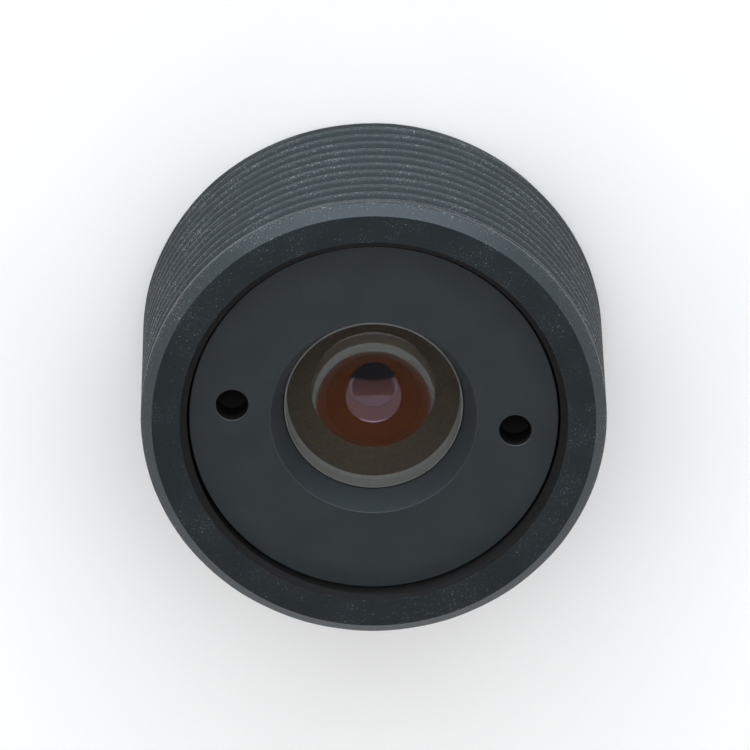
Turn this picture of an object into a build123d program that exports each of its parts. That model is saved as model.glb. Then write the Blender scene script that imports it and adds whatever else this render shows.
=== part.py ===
from build123d import *
from math import copysign, radians, sqrt, tan
import os

# Short threaded lens for a board camera, standing on its rear end.
# Millimetres, Z = 0 at the rear face and +Z along the optical axis, out of the front glass.

# Barrel, threaded M12 x 0.5 over its whole length
thread_diameter = 12.0
barrel_length = 5.95
rim_width = 1.19
end_chamfer = 0.28
mouth_chamfer = 0.19
edge_break = 0.03

# Inside thread that carries the front cell, drawn as plain walls at its flanks
cell_thread_gap = 0.05
cell_floor_gap = 0.15
relief_depth = 0.24
relief_width = 0.35

# Front cell and its two spanner holes
cone_mouth_diameter = 5.32
cone_depth = 0.79
cell_seat_diameter = 3.9
cell_seat_thickness = 0.35
spanner_hole_diameter = 0.84
spanner_hole_shift = 0.045
spanner_hole_depth = 0.8
spanner_hole_angle = -6.6
drill_point_angle = 118.0

# Front lens, a meniscus with a ground edge
front_lens_diameter = 4.62
front_lens_edge = 1.15
front_lens_front_curve = 16.0
front_lens_rear_curve = 2.5
front_lens_hollow_diameter = 3.8
lens_bevel = 0.04

# Second lens and the film ring in front of it
light_shield_thickness = 0.1
light_shield_opening = 3.7
second_lens_diameter = 4.88
second_lens_edge = 0.5
second_lens_front_curve = 3.2
second_lens_front_clear = 3.6
second_lens_rear_curve = 5.0
second_lens_rear_clear = 3.2

# Stop and the rings on either side of it
stop_spacer_height = 0.35
stop_spacer_opening = 3.4
stop_thickness = 0.08
stop_opening = 1.24
doublet_spacer_height = 0.55
doublet_spacer_opening = 3.1

# Cemented doublet
doublet_diameter = 4.2
doublet_clear = 3.0
doublet_front_edge = 0.35
doublet_front_curve = 2.9
doublet_joint_curve = 5.0
cement_thickness = 0.01
doublet_rear_edge = 0.59
doublet_rear_curve = 8.0

# Seat of the stack and the filter behind it
rear_seat_diameter = 3.4
rear_seat_thickness = 0.3
filter_diameter = 5.9
filter_thickness = 0.3
filter_depth = 0.23

# Radial clearances
lens_clearance = 0.02
cell_lens_clearance = 0.03
filter_clearance = 0.05

# Heights of the seats, from the rear face up through the stack
filter_top = filter_depth + filter_thickness
rear_seat_top = filter_top + rear_seat_thickness
doublet_joint_edge = rear_seat_top + doublet_rear_edge
doublet_top = doublet_joint_edge + cement_thickness + doublet_front_edge
stop_bottom = doublet_top + doublet_spacer_height
stop_top = stop_bottom + stop_thickness
second_lens_bottom = stop_top + stop_spacer_height
second_lens_top = second_lens_bottom + second_lens_edge
cell_bottom = second_lens_top + light_shield_thickness
front_lens_bottom = cell_bottom + cell_seat_thickness
front_lens_top = front_lens_bottom + front_lens_edge
cell_top = front_lens_top + cone_depth
cell_floor = cell_bottom - cell_floor_gap

# Radii of the bores
barrel_radius = thread_diameter / 2
cell_bore_radius = barrel_radius - rim_width
cell_radius = cell_bore_radius - cell_thread_gap
cone_mouth_radius = cone_mouth_diameter / 2
cell_lens_bore = front_lens_diameter / 2 + cell_lens_clearance
front_group_radius = second_lens_diameter / 2
front_group_bore = front_group_radius + lens_clearance
rear_group_radius = doublet_diameter / 2
rear_group_bore = rear_group_radius + lens_clearance
filter_bore = filter_diameter / 2 + filter_clearance

# The spanner holes lie just inside the middle of the cell's flat face
spanner_circle_radius = (cone_mouth_radius + cell_radius) / 2 - spanner_hole_shift

turned = (Align.MIN, Align.MIN)


def sag(curve, height):
    """Fall of a spherical surface from its vertex, positive where it bulges upwards."""
    return curve - copysign(sqrt(curve * curve - height * height), curve)


def surface(edge_z, height, curve):
    """Half section of a spherical surface, from the axis out to its rim at edge_z."""
    vertex_z = edge_z + sag(curve, height)
    middle = height / 2
    ThreePointArc(
        (0, vertex_z),
        (middle, vertex_z - sag(curve, middle)),
        (height, edge_z),
    )
    return vertex_z


os.makedirs("parts", exist_ok=True)

# Barrel: its half section is the full bar less one rectangle for each bore
bores = (
    (filter_bore, 0, filter_top),
    (rear_seat_diameter / 2, filter_top, rear_seat_top),
    (rear_group_bore, rear_seat_top, stop_bottom),
    (front_group_bore, stop_bottom, cell_floor),
    (cell_bore_radius + relief_depth, cell_floor, cell_floor + relief_width),
    (cell_bore_radius, cell_floor + relief_width, barrel_length),
)
with BuildPart() as barrel:
    with BuildSketch(Plane.XZ) as barrel_section:
        Rectangle(barrel_radius, barrel_length, align=turned)
        chamfer(barrel_section.vertices().group_by(Axis.X)[-1], end_chamfer)
        for radius, bottom, top in bores:
            with Locations((0, bottom)):
                Rectangle(radius, top - bottom, align=turned, mode=Mode.SUBTRACT)
        mouth = barrel_section.vertices().group_by(Axis.Z)[-1].sort_by(Axis.X)[0]
        chamfer(mouth, mouth_chamfer)
    revolve(axis=Axis.Z)
barrel.part.label = "barrel"
export_step(barrel.part, "parts/barrel.step")

# Front cell: conical mouth, bore for the front lens and the seat under it
with BuildPart() as front_cell:
    with BuildSketch(Plane.XZ) as cell_section:
        with Locations((0, cell_bottom)):
            Rectangle(cell_radius, cell_top - cell_bottom, align=turned)
            Rectangle(cell_seat_diameter / 2, cell_seat_thickness, align=turned, mode=Mode.SUBTRACT)
        with Locations((0, front_lens_bottom)):
            Rectangle(cell_lens_bore, front_lens_edge, align=turned, mode=Mode.SUBTRACT)
        with BuildLine():
            Polyline(
                (0, front_lens_top),
                (cell_lens_bore, front_lens_top),
                (cone_mouth_radius, cell_top),
                (0, cell_top),
                close=True,
            )
        make_face(mode=Mode.SUBTRACT)
        chamfer(cell_section.vertices().group_by(Axis.Z)[-1], edge_break)
    revolve(axis=Axis.Z)
    point_height = spanner_hole_diameter / 2 / tan(radians(drill_point_angle / 2))
    with Locations(Plane.XY.offset(cell_top)):
        with PolarLocations(spanner_circle_radius, 2, start_angle=spanner_hole_angle):
            Hole(spanner_hole_diameter / 2, depth=spanner_hole_depth)
    with Locations(Plane.XY.offset(cell_top - spanner_hole_depth)):
        with PolarLocations(spanner_circle_radius, 2, start_angle=spanner_hole_angle):
            Cone(
                0,
                spanner_hole_diameter / 2,
                point_height,
                align=(Align.CENTER, Align.CENTER, Align.MAX),
                mode=Mode.SUBTRACT,
            )
front_cell.part.label = "front_cell"
export_step(front_cell.part, "parts/front_cell.step")

# Front lens: nearly flat front, deep hollow behind, flat ring round the hollow
with BuildPart() as front_lens:
    front_radius = front_lens_diameter / 2
    hollow_radius = front_lens_hollow_diameter / 2
    with BuildSketch(Plane.XZ) as front_lens_section:
        with BuildLine():
            front_vertex = surface(front_lens_top, front_radius, front_lens_front_curve)
            Polyline(
                (front_radius, front_lens_top),
                (front_radius, front_lens_bottom),
                (hollow_radius, front_lens_bottom),
            )
            hollow_vertex = surface(front_lens_bottom, hollow_radius, front_lens_rear_curve)
            Line((0, front_vertex), (0, hollow_vertex))
        make_face()
        chamfer(front_lens_section.vertices().group_by(Axis.X)[-1], lens_bevel)
    revolve(axis=Axis.Z)
front_lens.part.label = "front_lens"
export_step(front_lens.part, "parts/front_lens.step")

# Second lens: bulges both ways inside its flat rims
with BuildPart() as second_lens:
    front_clear = second_lens_front_clear / 2
    rear_clear = second_lens_rear_clear / 2
    with BuildSketch(Plane.XZ):
        with BuildLine():
            front_vertex = surface(second_lens_top, front_clear, second_lens_front_curve)
            Polyline(
                (front_clear, second_lens_top),
                (front_group_radius, second_lens_top),
                (front_group_radius, second_lens_bottom),
                (rear_clear, second_lens_bottom),
            )
            rear_vertex = surface(second_lens_bottom, rear_clear, -second_lens_rear_curve)
            Line((0, front_vertex), (0, rear_vertex))
        make_face()
    revolve(axis=Axis.Z)
second_lens.part.label = "second_lens"
export_step(second_lens.part, "parts/second_lens.step")

# Cemented doublet: both elements meet on one sphere, a cement film apart
with BuildPart() as doublet_front_element:
    clear_radius = doublet_clear / 2
    joint_top = doublet_joint_edge + cement_thickness
    with BuildSketch(Plane.XZ):
        with BuildLine():
            front_vertex = surface(doublet_top, clear_radius, doublet_front_curve)
            Polyline(
                (clear_radius, doublet_top),
                (rear_group_radius, doublet_top),
                (rear_group_radius, joint_top),
            )
            joint_vertex = surface(joint_top, rear_group_radius, -doublet_joint_curve)
            Line((0, front_vertex), (0, joint_vertex))
        make_face()
    revolve(axis=Axis.Z)
doublet_front_element.part.label = "doublet_front_element"
export_step(doublet_front_element.part, "parts/doublet_front_element.step")

with BuildPart() as doublet_rear_element:
    with BuildSketch(Plane.XZ):
        with BuildLine():
            joint_vertex = surface(doublet_joint_edge, rear_group_radius, -doublet_joint_curve)
            Polyline(
                (rear_group_radius, doublet_joint_edge),
                (rear_group_radius, rear_seat_top),
                (clear_radius, rear_seat_top),
            )
            rear_vertex = surface(rear_seat_top, clear_radius, -doublet_rear_curve)
            Line((0, joint_vertex), (0, rear_vertex))
        make_face()
    revolve(axis=Axis.Z)
doublet_rear_element.part.label = "doublet_rear_element"
export_step(doublet_rear_element.part, "parts/doublet_rear_element.step")

# Film ring that keeps stray light off the second lens's rim
with BuildPart() as front_light_shield:
    with BuildSketch(Plane.XY.offset(second_lens_top)):
        Circle(front_group_radius)
        Circle(light_shield_opening / 2, mode=Mode.SUBTRACT)
    extrude(amount=light_shield_thickness)
front_light_shield.part.label = "front_light_shield"
export_step(front_light_shield.part, "parts/front_light_shield.step")

# Ring that holds the second lens off the stop
with BuildPart() as stop_spacer:
    with BuildSketch(Plane.XY.offset(stop_top)):
        Circle(front_group_radius)
        Circle(stop_spacer_opening / 2, mode=Mode.SUBTRACT)
    extrude(amount=stop_spacer_height)
stop_spacer.part.label = "stop_spacer"
export_step(stop_spacer.part, "parts/stop_spacer.step")

# Thin stop on the barrel's inner shoulder
with BuildPart() as aperture_stop:
    with BuildSketch(Plane.XY.offset(stop_bottom)):
        Circle(front_group_radius)
        Circle(stop_opening / 2, mode=Mode.SUBTRACT)
    extrude(amount=stop_thickness)
aperture_stop.part.label = "aperture_stop"
export_step(aperture_stop.part, "parts/aperture_stop.step")

# Ring that holds the doublet on the rear seat
with BuildPart() as doublet_spacer:
    with BuildSketch(Plane.XY.offset(doublet_top)):
        Circle(rear_group_radius)
        Circle(doublet_spacer_opening / 2, mode=Mode.SUBTRACT)
    extrude(amount=doublet_spacer_height)
doublet_spacer.part.label = "doublet_spacer"
export_step(doublet_spacer.part, "parts/doublet_spacer.step")

# Flat filter glass bonded in the rear recess
with BuildPart() as infrared_filter:
    with BuildSketch(Plane.XY.offset(filter_depth)):
        Circle(filter_diameter / 2)
    extrude(amount=filter_thickness)
infrared_filter.part.label = "infrared_filter"
export_step(infrared_filter.part, "parts/infrared_filter.step")
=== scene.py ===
import bpy
import bmesh
from math import acos, cos, pi, radians, sin, sqrt, tan
from mathutils import Matrix, Vector


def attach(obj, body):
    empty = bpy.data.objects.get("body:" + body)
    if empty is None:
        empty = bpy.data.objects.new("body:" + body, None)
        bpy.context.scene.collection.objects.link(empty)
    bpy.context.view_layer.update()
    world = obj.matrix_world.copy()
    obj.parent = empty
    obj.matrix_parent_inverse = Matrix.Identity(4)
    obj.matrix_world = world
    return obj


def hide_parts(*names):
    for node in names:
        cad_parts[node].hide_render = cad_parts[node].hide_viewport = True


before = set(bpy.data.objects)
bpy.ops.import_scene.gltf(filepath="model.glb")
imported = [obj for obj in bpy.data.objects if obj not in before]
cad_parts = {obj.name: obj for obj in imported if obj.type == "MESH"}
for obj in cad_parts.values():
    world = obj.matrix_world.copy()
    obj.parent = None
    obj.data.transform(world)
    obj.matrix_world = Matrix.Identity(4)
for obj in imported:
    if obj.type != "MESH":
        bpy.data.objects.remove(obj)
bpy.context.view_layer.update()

# A short M12 x 0.5 board-camera lens, standing on its rear end with its glass upwards.
# All lengths are in metres; MM turns the drawing's millimetres into them.
MM = 0.001

# Barrel
BARREL_RADIUS = 6.0 * MM
BARREL_LENGTH = 5.95 * MM
END_CHAMFER = 0.28 * MM
REAR_BREAK = 0.1 * MM
MOUTH_RADIUS = 5.0 * MM
CELL_BORE = 4.81 * MM
CELL_FLOOR = 3.21 * MM
RELIEF_TOP = 3.56 * MM
RELIEF_RADIUS = 5.05 * MM

# Threads: the crest of the outer one crosses +X at THREAD_START, and it fades out at LEAD_IN
THREAD_PITCH = 0.5 * MM
THREAD_START = -0.155 * MM
THREAD_DEPTH = 0.3 * MM
THREAD_ROUNDING = 0.035 * MM
INNER_DEPTH = 0.185 * MM
INNER_ROUNDING = 0.03 * MM
LEAD_IN = 0.4 * MM
FADE = 0.1 * MM

# Front cell
CELL_RADIUS = 4.76 * MM
CELL_BOTTOM = 3.36 * MM
CELL_SEAT_TOP = 3.71 * MM
CELL_SEAT_RADIUS = 2.23 * MM
CELL_LENS_BORE = 2.34 * MM
CELL_EDGE = 0.03 * MM
CONE_BOTTOM = 4.86 * MM
CONE_MOUTH = 2.66 * MM
CELL_TOP = 5.65 * MM
HOLE_RADIUS = 0.42 * MM
HOLE_DEPTH = 0.8 * MM
HOLE_FLARE = 0.02 * MM
HOLE_CIRCLE = 3.665 * MM
HOLE_ANGLE = radians(-6.6)
DRILL_HALF_ANGLE = radians(59)

# Front lens: its ball-shaped rear is polished out to LENS_CLEAR
LENS_RADIUS = 2.31 * MM
LENS_BALL = 2.5 * MM
LENS_BEVEL = 0.03 * MM
LENS_CLEAR = 1.62 * MM
LENS_INDEX = 1.667

# Stop and rings between the front lens and the doublet
FRONT_GROUP_BORE = 2.46 * MM
FRONT_GROUP_RADIUS = 2.44 * MM
SHIELD_BOTTOM = 3.26 * MM
SHIELD_OPENING = 2.05 * MM
STOP_SPACER_TOP = 2.76 * MM
STOP_SPACER_OPENING = 1.7 * MM
STOP_TOP = 2.41 * MM
STOP_BOTTOM = 2.33 * MM
STOP_OPENING = 0.62 * MM

# Doublet, its ring and its seat
REAR_GROUP_BORE = 2.12 * MM
REAR_GROUP_RADIUS = 2.1 * MM
DOUBLET_SPACER_OPENING = 1.55 * MM
DOUBLET_TOP = 1.78 * MM
DOUBLET_JOINT = 1.42 * MM
DOUBLET_CLEAR = 1.5 * MM
DOUBLET_FRONT_CURVE = 2.9 * MM
DOUBLET_JOINT_CURVE = 5.0 * MM
DOUBLET_REAR_CURVE = 8.0 * MM
CEMENT = 0.01 * MM
REAR_SEAT_TOP = 0.83 * MM
REAR_SEAT_RADIUS = 1.7 * MM

# Filter in the rear recess
FILTER_TOP = 0.53 * MM
FILTER_BOTTOM = 0.23 * MM
FILTER_BORE = 3.0 * MM
FILTER_RADIUS = 2.95 * MM

# Glass never quite touches metal, so that the renderer can tell the two surfaces apart
TOUCH = 0.002 * MM

# Facets round the axis, rows along one turn of thread, and steps from a lens's axis to its rim
AROUND = 288
RING_AROUND = 192
DRILL_AROUND = 64
OUTER_ROWS = 20
INNER_ROWS = 16
BALL_STEPS = 64
DOUBLET_STEPS = 32

# Noise scales, in cycles to the metre
DYE_CLOUDS = 900.0
GLASS_POLISH = 4000.0
MATT_GRAIN = 9000.0
CHIP_GRAIN = 26000.0
TURNING_MARKS = 30000.0
BLAST_GRAIN = 38000.0
STUDIO_GRAIN = 40.0


# Node helpers

def feed(tree, socket, value):
    """Link a socket, or set its plain value."""
    if isinstance(value, bpy.types.NodeSocket):
        tree.links.new(value, socket)
    else:
        socket.default_value = value


def node(tree, kind, inputs=None, **settings):
    made = tree.nodes.new(kind)
    for key, value in settings.items():
        setattr(made, key, value)
    for key, value in (inputs or {}).items():
        feed(tree, made.inputs[key], value)
    return made


def calc(tree, operation, *values):
    made = tree.nodes.new("ShaderNodeMath")
    made.operation = operation
    for socket, value in zip(made.inputs, values):
        feed(tree, socket, value)
    return made.outputs[0]


def noise(tree, vector, scale, detail):
    made = node(tree, "ShaderNodeTexNoise", {"Vector": vector, "Scale": scale, "Detail": detail})
    return made.outputs["Fac"]


def remapped(tree, value, source, target):
    """Carry a value from one range to another, held at both ends."""
    made = node(tree, "ShaderNodeMapRange", {
        "Value": value,
        "From Min": source[0],
        "From Max": source[1],
        "To Min": target[0],
        "To Max": target[1],
    })
    return made.outputs[0]


def mixed(tree, factor, first, second):
    """A colour between two others."""
    made = node(tree, "ShaderNodeMix", {0: factor, 6: first, 7: second}, data_type="RGBA")
    return made.outputs[2]


def roughen(tree, shader, height, strength, distance):
    bump = node(tree, "ShaderNodeBump", {
        "Height": height,
        "Strength": strength,
        "Distance": distance,
    })
    tree.links.new(bump.outputs[0], shader.inputs["Normal"])


# Turned pieces

def rounded(corners, steps=5):
    """Outline with each (radius, height, rounding) corner turned into a short arc."""
    points = []
    count = len(corners)
    for index, (r, z, rounding) in enumerate(corners):
        here = Vector((r, z))
        if rounding == 0:
            points.append(here)
            continue
        before = (Vector(corners[index - 1][:2]) - here).normalized()
        after = (Vector(corners[(index + 1) % count][:2]) - here).normalized()
        half = acos(max(-1.0, min(1.0, before.dot(after)))) / 2
        reach = rounding / tan(half)
        centre = here + (before + after).normalized() * (rounding / sin(half))
        first = here + before * reach
        last = here + after * reach
        sweep = pi - 2 * half
        guard = rounding * 0.15
        points.append(first + before * guard)
        for step in range(steps + 1):
            share = step / steps
            turn = sweep * share
            spoke = (first - centre) * (sin(sweep - turn) / sin(sweep))
            spoke += (last - centre) * (sin(turn) / sin(sweep))
            points.append(centre + spoke)
        points.append(last + after * guard)
    return [(point.x, point.y) for point in points]


def dome(edge_z, height, curve, steps):
    """Points of a spherical surface from the axis out to its rim at edge_z."""
    side = 1 if curve > 0 else -1
    ball = abs(curve)
    centre = edge_z - side * sqrt(ball * ball - height * height)
    reach = acos(sqrt(ball * ball - height * height) / ball)
    points = []
    for step in range(steps + 1):
        angle = reach * step / steps
        points.append((ball * sin(angle), centre + side * ball * cos(angle)))
    return points


def turned_mesh(name, outline, closed=True, around=AROUND):
    """Turn an outline round the axis. Points on the axis become one vertex."""
    verts = []
    rings = []
    for r, z in outline:
        if r < 1e-9:
            rings.append([len(verts)])
            verts.append((0, 0, z))
        else:
            rings.append([len(verts) + k for k in range(around)])
            verts += [
                (r * cos(2 * pi * k / around), r * sin(2 * pi * k / around), z)
                for k in range(around)
            ]
    faces = []
    pairs = list(zip(rings, rings[1:]))
    if closed and len(rings[0]) > 1:
        pairs.append((rings[-1], rings[0]))
    for low, high in pairs:
        for k in range(around):
            n = (k + 1) % around
            if len(low) == 1 and len(high) == 1:
                continue
            if len(low) == 1:
                faces.append((low[0], high[n], high[k]))
            elif len(high) == 1:
                faces.append((low[k], low[n], high[0]))
            else:
                faces.append((low[k], low[n], high[n], high[k]))
    mesh = bpy.data.meshes.new(name)
    mesh.from_pydata(verts, [], faces)
    mesh.update()
    return mesh


def piece_from(name, mesh, materials, sharp=35):
    piece = bpy.data.objects.new(name, mesh)
    bpy.context.scene.collection.objects.link(piece)
    form = bmesh.new()
    form.from_mesh(mesh)
    bmesh.ops.remove_doubles(form, verts=form.verts, dist=2e-7)
    bmesh.ops.recalc_face_normals(form, faces=form.faces)
    form.to_mesh(mesh)
    form.free()
    mesh.materials.clear()
    for material in materials:
        mesh.materials.append(material)
    mesh.shade_smooth()
    mesh.set_sharp_from_angle(angle=radians(sharp))
    return piece


def paint(piece, index, chosen):
    """Give the faces whose middle (radius, height) is chosen another material."""
    for face in piece.data.polygons:
        middle = face.center
        if chosen(sqrt(middle.x ** 2 + middle.y ** 2), middle.z):
            face.material_index = index


def install(piece, nodes):
    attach(piece, "root")
    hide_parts(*nodes)


# Finishes

def start_material(name):
    material = bpy.data.materials.new(name)
    material.use_nodes = True
    tree = material.node_tree
    shader = tree.nodes["Principled BSDF"]
    place = node(tree, "ShaderNodeTexCoord").outputs["Object"]
    return material, tree, shader, place


def anodised(name, dark, light, roughness, sheen, wear):
    """Black anodised aluminium: uneven dye, blasted grain, turning marks, chips on the crests."""
    material, tree, shader, place = start_material(name)
    height = node(tree, "ShaderNodeSeparateXYZ", {"Vector": place}).outputs["Z"]
    flat = node(tree, "ShaderNodeVectorMath", {0: place, 1: (1, 1, 0)}, operation="MULTIPLY")
    across = node(tree, "ShaderNodeVectorMath", {0: flat.outputs[0]}, operation="LENGTH")
    radius = across.outputs["Value"]
    section = node(tree, "ShaderNodeCombineXYZ", {"X": radius, "Z": height})
    dye = noise(tree, place, DYE_CLOUDS, 5.0)
    chips = noise(tree, place, CHIP_GRAIN, 2.0)
    blasting = noise(tree, place, BLAST_GRAIN, 3.0)
    turning = noise(tree, section.outputs[0], TURNING_MARKS, 2.0)

    crest = remapped(tree, radius, (BARREL_RADIUS - 0.12 * MM, BARREL_RADIUS), (0.0, 0.08))
    uneven = calc(tree, "ADD", calc(tree, "MULTIPLY", dye, 0.25), crest)
    bare = remapped(tree, calc(tree, "ADD", chips, uneven), (0.78, 0.92), (0.0, 1.0))
    worn = calc(tree, "MULTIPLY", bare, wear)
    colour = mixed(tree, worn, mixed(tree, dye, dark + (1,), light + (1,)), (0.3, 0.32, 0.34, 1))
    tree.links.new(colour, shader.inputs["Base Color"])

    gloss = remapped(tree, dye, (0.0, 1.0), (roughness - 0.04, roughness + 0.05))
    tree.links.new(gloss, shader.inputs["Roughness"])
    shader.inputs["Specular IOR Level"].default_value = sheen
    shader.inputs["Specular Tint"].default_value = (0.84, 0.95, 1.0, 1)

    texture = calc(tree, "ADD", calc(tree, "MULTIPLY", blasting, 0.25),
                   calc(tree, "MULTIPLY", turning, 0.15))
    roughen(tree, shader, texture, 0.35, 0.02 * MM)
    return material


def glass(name, colour, index, coating):
    """Polished glass. The coating's tint is what its reflection looks like head on."""
    material, tree, shader, place = start_material(name)
    shader.inputs["Base Color"].default_value = colour + (1,)
    shader.inputs["Transmission Weight"].default_value = 1.0
    shader.inputs["IOR"].default_value = index
    shader.inputs["Specular Tint"].default_value = coating + (1,)
    gloss = remapped(tree, noise(tree, place, GLASS_POLISH, 2.0), (0.0, 1.0), (0.0, 0.02))
    tree.links.new(gloss, shader.inputs["Roughness"])
    return material


def matte(name, dark, light, roughness, scale=MATT_GRAIN, sheen=0.5):
    """A dull surface that is a little uneven in colour and height."""
    material, tree, shader, place = start_material(name)
    cloud = noise(tree, place, scale, 4.0)
    tree.links.new(mixed(tree, cloud, dark + (1,), light + (1,)), shader.inputs["Base Color"])
    shader.inputs["Roughness"].default_value = roughness
    shader.inputs["Specular IOR Level"].default_value = sheen
    roughen(tree, shader, cloud, 0.3, 0.01 * MM)
    return material


barrel_black = anodised("barrel_black", (0.006, 0.009, 0.011), (0.011, 0.015, 0.018), 0.44, 0.5, 0.5)
cell_black = anodised("cell_black", (0.014, 0.0175, 0.0195), (0.02, 0.0245, 0.027), 0.5, 0.45, 0.08)
inner_black = matte("inner_black", (0.004, 0.004, 0.004), (0.008, 0.008, 0.008), 0.6, sheen=0.12)
film_black = matte("film_black", (0.012, 0.012, 0.013), (0.02, 0.02, 0.021), 0.5)
# The stop plate is a black part; its orange-brown colour is a painted orange reflection of the
# coatings.
stop_painted_orange_reflection = matte("stop_painted_orange_reflection", (0.13, 0.035, 0.007), (0.18, 0.05, 0.011), 0.55, sheen=0.2)
# The stop spacer is a black part; its orange-brown colour is a painted orange reflection of the
# coatings.
spacer_painted_orange_reflection = matte("spacer_painted_orange_reflection", (0.28, 0.10, 0.034), (0.36, 0.13, 0.046), 0.5)
ground_edge = matte("ground_edge", (0.38, 0.40, 0.39), (0.54, 0.56, 0.545), 0.9, sheen=0.2)
ground_shoulder = matte("ground_shoulder", (0.11, 0.088, 0.066), (0.19, 0.158, 0.125), 0.9)
front_coated = glass("front_coated", (0.99, 0.98, 0.96), LENS_INDEX, (0.03, 0.03, 0.045))
rear_coated = glass("rear_coated", (0.99, 0.98, 0.96), LENS_INDEX, (0.54, 0.45, 0.62))
doublet_glass = glass("doublet_glass", (0.96, 0.95, 0.97), 1.6, (0.3, 0.12, 0.12))
filter_glass = glass("filter_glass", (0.75, 0.85, 0.9), 1.52, (0.5, 0.2, 0.25))


# Threads

def thread_tree(name, inside):
    """A screw thread laid out as a grid: one way round the axis, the other along the helix."""
    tree = bpy.data.node_groups.new(name, "GeometryNodeTree")
    sockets = (
        ("Crest Radius", "NodeSocketFloat"),
        ("Depth", "NodeSocketFloat"),
        ("Pitch", "NodeSocketFloat"),
        ("Start", "NodeSocketFloat"),
        ("Turns", "NodeSocketInt"),
        ("Around", "NodeSocketInt"),
        ("Rows per Turn", "NodeSocketInt"),
        ("Bottom", "NodeSocketFloat"),
        ("Top", "NodeSocketFloat"),
        ("Bottom Radius", "NodeSocketFloat"),
        ("Top Radius", "NodeSocketFloat"),
        ("Crest Rounding", "NodeSocketFloat"),
        ("Lead In", "NodeSocketFloat"),
        ("Finish", "NodeSocketMaterial"),
    )
    for label, kind in sockets:
        tree.interface.new_socket(label, in_out="INPUT", socket_type=kind)
    tree.interface.new_socket("Thread", in_out="OUTPUT", socket_type="NodeSocketGeometry")
    given = tree.nodes.new("NodeGroupInput").outputs
    rows = calc(tree, "ADD", calc(tree, "MULTIPLY", given["Turns"], given["Rows per Turn"]), 1.0)
    grid = node(tree, "GeometryNodeMeshGrid", {
        "Size X": 1.0,
        "Size Y": 1.0,
        "Vertices X": calc(tree, "ADD", given["Around"], 1.0),
        "Vertices Y": rows,
    })
    place = node(tree, "ShaderNodeSeparateXYZ", {
        "Vector": node(tree, "GeometryNodeInputPosition").outputs[0],
    })
    turn = calc(tree, "ADD", place.outputs["X"], 0.5)
    along = calc(tree, "MULTIPLY", calc(tree, "ADD", place.outputs["Y"], 0.5), given["Turns"])
    climb = calc(tree, "MULTIPLY", calc(tree, "ADD", along, turn), given["Pitch"])
    free_z = calc(tree, "ADD", climb, given["Start"])
    z = calc(tree, "MINIMUM", calc(tree, "MAXIMUM", free_z, given["Bottom"]), given["Top"])
    # Distance from the middle of the nearest crest, then the fall of a 60 degree flank
    phase = calc(tree, "DIVIDE", calc(tree, "SUBTRACT", free_z,
                                      calc(tree, "MULTIPLY", turn, given["Pitch"])), given["Pitch"])
    start_phase = calc(tree, "DIVIDE", given["Start"], given["Pitch"])
    whole = calc(tree, "SUBTRACT", phase, start_phase)
    offset = calc(tree, "PINGPONG", whole, 0.5)
    away = calc(tree, "MULTIPLY", offset, given["Pitch"])
    flank = calc(tree, "MULTIPLY", away, sqrt(3))
    spare = calc(tree, "SUBTRACT", calc(tree, "MULTIPLY", given["Pitch"], sqrt(3) / 2), given["Depth"])
    sharp_fall = calc(tree, "SUBTRACT", flank, calc(tree, "MULTIPLY", spare, 0.5))
    eased = calc(tree, "SMOOTH_MAX", sharp_fall, 0.0, given["Crest Rounding"])
    fall = calc(tree, "SMOOTH_MIN", eased, given["Depth"], given["Crest Rounding"])
    top_cone = calc(tree, "SUBTRACT", given["Top"], z)
    bottom_cone = calc(tree, "SUBTRACT", z, given["Bottom"])
    # The thread fades out a little below the top edge, where the blank stays plain
    lead_end = calc(tree, "ADD", given["Lead In"], FADE)
    cutting = remapped(tree, top_cone, (given["Lead In"], lead_end), (0.0, 1.0))
    fall = calc(tree, "MULTIPLY", fall, cutting)
    if inside:
        thread = calc(tree, "ADD", given["Crest Radius"], fall)
        top_r = calc(tree, "SUBTRACT", given["Top Radius"], top_cone)
        r = calc(tree, "MAXIMUM", thread, top_r)
    else:
        thread = calc(tree, "SUBTRACT", given["Crest Radius"], fall)
        top_r = calc(tree, "ADD", given["Top Radius"], top_cone)
        bottom_r = calc(tree, "ADD", given["Bottom Radius"], bottom_cone)
        r = calc(tree, "MINIMUM", thread, calc(tree, "MINIMUM", top_r, bottom_r))
    at_top = calc(tree, "LESS_THAN", top_cone, 1e-8)
    at_bottom = calc(tree, "LESS_THAN", bottom_cone, 1e-8)
    for at_end, end_radius in ((at_top, given["Top Radius"]), (at_bottom, given["Bottom Radius"])):
        shift = calc(tree, "MULTIPLY", calc(tree, "SUBTRACT", end_radius, r), at_end)
        r = calc(tree, "ADD", r, shift)
    angle = calc(tree, "MULTIPLY", turn, 2 * pi)
    spot = node(tree, "ShaderNodeCombineXYZ", {
        "X": calc(tree, "MULTIPLY", r, calc(tree, "COSINE", angle)),
        "Y": calc(tree, "MULTIPLY", r, calc(tree, "SINE", angle)),
        "Z": z,
    })
    bent = node(tree, "GeometryNodeSetPosition", {
        "Geometry": grid.outputs["Mesh"],
        "Position": spot.outputs[0],
    })
    shape = bent.outputs[0]
    if inside:
        shape = node(tree, "GeometryNodeFlipFaces", {"Mesh": shape}).outputs[0]
    welded = node(tree, "GeometryNodeMergeByDistance", {"Geometry": shape, "Distance": 2e-7})
    real = node(tree, "GeometryNodeRealizeInstances", {"Geometry": welded.outputs[0]})
    finished = node(tree, "GeometryNodeSetMaterial", {
        "Geometry": real.outputs[0],
        "Material": given["Finish"],
    })
    result = tree.nodes.new("NodeGroupOutput")
    tree.links.new(finished.outputs[0], result.inputs[0])
    return tree


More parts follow.
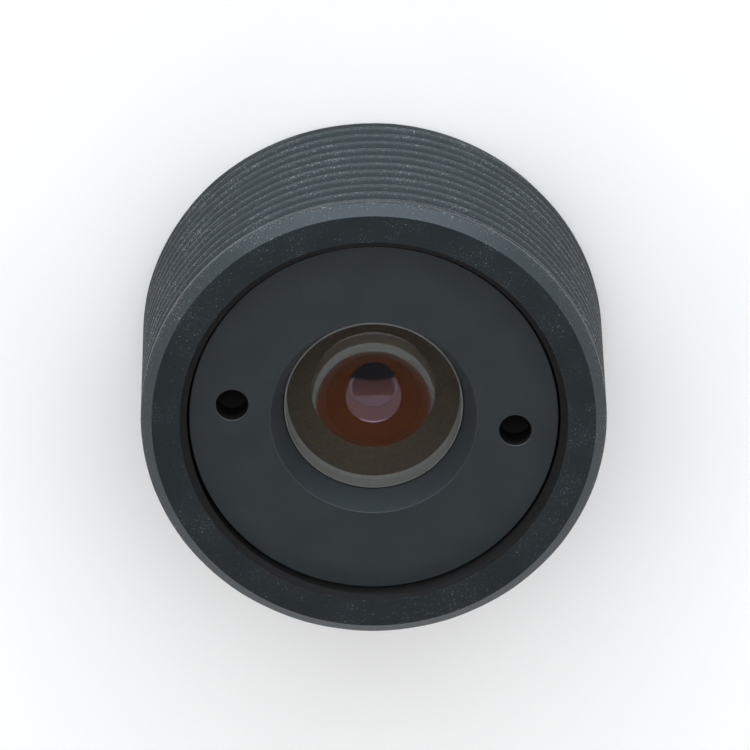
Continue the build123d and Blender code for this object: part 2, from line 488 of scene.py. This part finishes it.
def grown(tree, values):
    """The mesh that a Geometry Nodes tree grows from named input values."""
    seed = bpy.data.objects.new("seed", bpy.data.meshes.new("seed"))
    bpy.context.scene.collection.objects.link(seed)
    grower = seed.modifiers.new("grower", "NODES")
    grower.node_group = tree
    for item in tree.interface.items_tree:
        if item.in_out == "INPUT":
            grower[item.identifier] = values[item.name]
    evaluated = seed.evaluated_get(bpy.context.evaluated_depsgraph_get())
    mesh = bpy.data.meshes.new_from_object(evaluated)
    seed.modifiers.remove(grower)
    bpy.data.objects.remove(seed)
    return mesh


outer_thread = grown(thread_tree("outer_thread", inside=False), {
    "Crest Radius": BARREL_RADIUS,
    "Depth": THREAD_DEPTH,
    "Pitch": THREAD_PITCH,
    "Start": THREAD_START - THREAD_PITCH,
    "Turns": 14,
    "Around": AROUND,
    "Rows per Turn": OUTER_ROWS,
    "Bottom": 0.0,
    "Top": BARREL_LENGTH,
    "Bottom Radius": BARREL_RADIUS - REAR_BREAK,
    "Top Radius": BARREL_RADIUS - END_CHAMFER,
    "Crest Rounding": THREAD_ROUNDING,
    "Lead In": LEAD_IN,
    "Finish": barrel_black,
})
inner_thread = grown(thread_tree("inner_thread", inside=True), {
    "Crest Radius": CELL_BORE,
    "Depth": INNER_DEPTH,
    "Pitch": THREAD_PITCH,
    "Start": RELIEF_TOP - THREAD_PITCH,
    "Turns": 6,
    "Around": AROUND,
    "Rows per Turn": INNER_ROWS,
    "Bottom": RELIEF_TOP,
    "Top": BARREL_LENGTH,
    "Bottom Radius": MOUTH_RADIUS,
    "Top Radius": MOUTH_RADIUS,
    "Crest Rounding": INNER_ROUNDING,
    "Lead In": 0.0,
    "Finish": barrel_black,
})

# Barrel: rim, and everything below the inside thread
rim = turned_mesh("rim", [
    (BARREL_RADIUS - END_CHAMFER, BARREL_LENGTH),
    (MOUTH_RADIUS, BARREL_LENGTH),
], closed=False)
body = turned_mesh("body", [
    (MOUTH_RADIUS, RELIEF_TOP),
    (RELIEF_RADIUS, RELIEF_TOP),
    (RELIEF_RADIUS, CELL_FLOOR),
    (FRONT_GROUP_BORE, CELL_FLOOR),
    (FRONT_GROUP_BORE, STOP_BOTTOM),
    (REAR_GROUP_BORE, STOP_BOTTOM),
    (REAR_GROUP_BORE, REAR_SEAT_TOP),
    (REAR_SEAT_RADIUS, REAR_SEAT_TOP),
    (REAR_SEAT_RADIUS, FILTER_TOP),
    (FILTER_BORE, FILTER_TOP),
    (FILTER_BORE, 0.0),
    (BARREL_RADIUS - REAR_BREAK, 0.0),
], closed=False)
whole = bmesh.new()
for part in (outer_thread, inner_thread, rim, body):
    whole.from_mesh(part)
barrel_mesh = bpy.data.meshes.new("threaded_barrel")
whole.to_mesh(barrel_mesh)
whole.free()
threaded_barrel = piece_from("threaded_barrel", barrel_mesh, [barrel_black, inner_black], sharp=40)
paint(threaded_barrel, 1, lambda r, z: r < MOUTH_RADIUS + TOUCH and z < BARREL_LENGTH - TOUCH)
paint(threaded_barrel, 1, lambda r, z: r < BARREL_RADIUS - 2 * THREAD_DEPTH and z < RELIEF_TOP)
install(threaded_barrel, ["barrel"])

# Front cell with its two drilled spanner holes
cell_outline = rounded([
    (CELL_SEAT_RADIUS, CELL_BOTTOM, 0),
    (CELL_RADIUS, CELL_BOTTOM, 0),
    (CELL_RADIUS, CELL_TOP, CELL_EDGE),
    (CONE_MOUTH, CELL_TOP, CELL_EDGE),
    (CELL_LENS_BORE, CONE_BOTTOM, 0),
    (CELL_LENS_BORE, CELL_SEAT_TOP - TOUCH, 0),
    (CELL_SEAT_RADIUS, CELL_SEAT_TOP - TOUCH, 0),
])
cell = piece_from("spanner_cell", turned_mesh("spanner_cell", cell_outline), [cell_black, inner_black])
drill_outline = [
    (0, CELL_TOP - HOLE_DEPTH - HOLE_RADIUS / tan(DRILL_HALF_ANGLE)),
    (HOLE_RADIUS, CELL_TOP - HOLE_DEPTH),
    (HOLE_RADIUS, CELL_TOP - HOLE_FLARE),
    (HOLE_RADIUS + 2 * HOLE_FLARE, CELL_TOP + HOLE_FLARE),
    (0, CELL_TOP + HOLE_FLARE),
]
for turn in (HOLE_ANGLE, HOLE_ANGLE + pi):
    drill_mesh = turned_mesh("drill", drill_outline, closed=False, around=DRILL_AROUND)
    drill_mesh.transform(Matrix.Translation((HOLE_CIRCLE * cos(turn), HOLE_CIRCLE * sin(turn), 0)))
    drill = piece_from("drill", drill_mesh, [cell_black])
    cut = cell.modifiers.new("cut", "BOOLEAN")
    cut.object = drill
    cut.solver = "EXACT"
    evaluated = cell.evaluated_get(bpy.context.evaluated_depsgraph_get())
    drilled = bpy.data.meshes.new_from_object(evaluated)
    cell.modifiers.remove(cut)
    cell.data = drilled
    bpy.data.objects.remove(drill)
hole_reach = 0.6 * MM
hole_top = CELL_TOP - 2 * HOLE_FLARE
paint(cell, 1, lambda r, z: abs(r - HOLE_CIRCLE) < hole_reach and CELL_BOTTOM < z < hole_top)
cell.data.shade_smooth()
cell.data.set_sharp_from_angle(angle=radians(35))
install(cell, ["front_cell"])

# Front lens: flat coated front, ball-shaped rear that rests on the cell's seat, ground edge
edge_bottom = CONE_BOTTOM - sqrt(LENS_BALL ** 2 - LENS_RADIUS ** 2)
lens_outline = [
    (0, CONE_BOTTOM),
    (LENS_RADIUS - LENS_BEVEL, CONE_BOTTOM),
    (LENS_RADIUS, CONE_BOTTOM - LENS_BEVEL),
] + dome(edge_bottom, LENS_RADIUS, -LENS_BALL, BALL_STEPS)[::-1]
front_lens = piece_from(
    "front_lens_glass",
    turned_mesh("front_lens_glass", lens_outline, closed=False),
    [front_coated, rear_coated, ground_edge, ground_shoulder],
)
paint(front_lens, 1, lambda r, z: z < edge_bottom)
paint(front_lens, 3, lambda r, z: r > LENS_CLEAR and z < edge_bottom)
paint(front_lens, 2, lambda r, z: r > CELL_SEAT_RADIUS - TOUCH and z < CONE_BOTTOM - TOUCH)
install(front_lens, ["front_lens", "second_lens"])


def doublet_element(name, top, bottom, node_name):
    """A lens between two outlines that start on the axis. Its edge is blackened."""
    outline = top + [(REAR_GROUP_RADIUS, top[-1][1]), (REAR_GROUP_RADIUS, bottom[-1][1])] + bottom[::-1]
    piece = piece_from(name, turned_mesh(name, outline, closed=False), [doublet_glass, film_black])
    paint(piece, 1, lambda r, z: r > REAR_GROUP_RADIUS - CEMENT)
    install(piece, [node_name])


doublet_element(
    "doublet_front_glass",
    dome(DOUBLET_TOP - TOUCH, DOUBLET_CLEAR, DOUBLET_FRONT_CURVE, DOUBLET_STEPS),
    dome(DOUBLET_JOINT + CEMENT, REAR_GROUP_RADIUS, -DOUBLET_JOINT_CURVE, DOUBLET_STEPS),
    "doublet_front_element",
)
doublet_element(
    "doublet_rear_glass",
    dome(DOUBLET_JOINT, REAR_GROUP_RADIUS, -DOUBLET_JOINT_CURVE, DOUBLET_STEPS),
    dome(REAR_SEAT_TOP + TOUCH, DOUBLET_CLEAR, -DOUBLET_REAR_CURVE, DOUBLET_STEPS),
    "doublet_rear_element",
)
filter_piece = piece_from(
    "filter_plate",
    turned_mesh("filter_plate", [
        (0, FILTER_BOTTOM),
        (FILTER_RADIUS, FILTER_BOTTOM),
        (FILTER_RADIUS, FILTER_TOP - TOUCH),
        (0, FILTER_TOP - TOUCH),
    ], closed=False),
    [filter_glass],
)
install(filter_piece, ["infrared_filter"])

# Rings and the stop between the lenses: outside, opening, bottom and top
for name, node_name, slot, finish, outside, opening, bottom, top in (
    ("light_shield_ring", "front_light_shield", "black_film", film_black,
     FRONT_GROUP_RADIUS, SHIELD_OPENING, SHIELD_BOTTOM, CELL_BOTTOM),
    # The stop spacer's orange-brown is a painted orange reflection on a black part.
    ("stop_spacer_ring", "stop_spacer", "spacer_anodised", spacer_painted_orange_reflection,
     FRONT_GROUP_RADIUS, STOP_SPACER_OPENING, STOP_TOP, STOP_SPACER_TOP),
    # The stop plate's orange-brown is a painted orange reflection on a black part.
    ("stop_plate", "aperture_stop", "stop_black", stop_painted_orange_reflection,
     FRONT_GROUP_RADIUS, STOP_OPENING, STOP_BOTTOM, STOP_TOP),
    ("doublet_spacer_ring", "doublet_spacer", "spacer_anodised", inner_black,
     REAR_GROUP_RADIUS, DOUBLET_SPACER_OPENING, DOUBLET_TOP, STOP_BOTTOM),
):
    ring_outline = [(opening, bottom), (outside, bottom), (outside, top), (opening, top)]
    ring = piece_from(name, turned_mesh(name, ring_outline, around=RING_AROUND), [finish])
    install(ring, [node_name])

# Camera: 23.1 degrees off the lens axis, as in the photograph
TILT = radians(23.1)
ROLL = radians(0.974)
EYE_DISTANCE = 0.3
AIM_RIGHT = 0.05 * MM
AIM_UP = 1.2195 * MM
rim_centre = Vector((0, 0, BARREL_LENGTH))
towards = Vector((0, sin(TILT), cos(TILT)))
upwards = Vector((0, cos(TILT), -sin(TILT)))
eye = rim_centre + towards * EYE_DISTANCE
aim = rim_centre + Vector((AIM_RIGHT, 0, 0)) + upwards * AIM_UP
back = (eye - aim).normalized()
level = upwards.cross(back).normalized()
rise = back.cross(level)
right = level * cos(ROLL) - rise * sin(ROLL)
above = level * sin(ROLL) + rise * cos(ROLL)
turning = Matrix((right, above, back)).transposed()
camera_data = bpy.data.cameras.new("camera")
camera_data.lens = 559.92
camera_data.sensor_width = 36
camera_data.clip_start = 0.01
camera_data.clip_end = 100
camera = bpy.data.objects.new("camera", camera_data)
camera.matrix_world = Matrix.Translation(eye) @ turning.to_4x4()
bpy.context.scene.collection.objects.link(camera)
bpy.context.scene.camera = camera

# Floor and light
FLOOR_REACH = 5.0


def stage_sheet(name, corners, finish):
    """A flat sheet of the studio, which isn't part of the object."""
    mesh = bpy.data.meshes.new(name)
    mesh.from_pydata(corners, [], [(0, 1, 2, 3)])
    mesh.materials.append(finish)
    sheet = bpy.data.objects.new(name, mesh)
    bpy.context.scene.collection.objects.link(sheet)


stage_sheet("floor", [
    (-FLOOR_REACH, -FLOOR_REACH, 0),
    (FLOOR_REACH, -FLOOR_REACH, 0),
    (FLOOR_REACH, FLOOR_REACH, 0),
    (-FLOOR_REACH, FLOOR_REACH, 0),
], matte("white_table", (0.93, 0.935, 0.935), (0.95, 0.95, 0.95), 0.8, STUDIO_GRAIN))

# A dark flag over the far side of the glass, from straight above down to half height
stage_sheet("dark_flag", [
    (-0.269, 0.0, 0.3),
    (0.269, 0.0, 0.3),
    (0.159, -0.225, 0.119),
    (-0.159, -0.225, 0.119),
], matte("dark_flag", (0.02, 0.015, 0.015), (0.03, 0.02, 0.02), 0.9, STUDIO_GRAIN))

world = bpy.data.worlds.new("studio")
bpy.context.scene.world = world
world.use_nodes = True
world.node_tree.nodes["Background"].inputs["Color"].default_value = (0.985, 0.995, 1.0, 1)
world.node_tree.nodes["Background"].inputs["Strength"].default_value = 1.36


def softbox(name, place, size, power, colour):
    """A rectangular lamp that faces the object and that the camera doesn't see."""
    light = bpy.data.lights.new(name, "AREA")
    light.shape = "RECTANGLE"
    light.size, light.size_y = size
    light.energy = power
    light.color = colour
    facing = Vector((0, 0, BARREL_LENGTH / 2)) - Vector(place)
    lamp = bpy.data.objects.new(name, light)
    lamp.location = place
    lamp.rotation_mode = "QUATERNION"
    lamp.rotation_quaternion = facing.to_track_quat("-Z", "Y")
    lamp.visible_camera = False
    bpy.context.scene.collection.objects.link(lamp)


softbox("sky_softbox", (0, 0.5, 0.17), (0.9, 0.16), 2.5, (0.84, 0.92, 1.0))
softbox("strip_softbox", (0, -0.445, 0.225), (0.42, 0.07), 0.62, (1.0, 0.94, 0.88))

view = bpy.context.scene.view_settings
view.view_transform = "Standard"
view.look = "None"
view.exposure = 0
view.gamma = 1
cycles = bpy.context.scene.cycles
cycles.use_denoising = True
cycles.max_bounces = 24
cycles.transmission_bounces = 20
cycles.glossy_bounces = 12
cycles.diffuse_bounces = 6
cycles.caustics_refractive = True
cycles.caustics_reflective = True
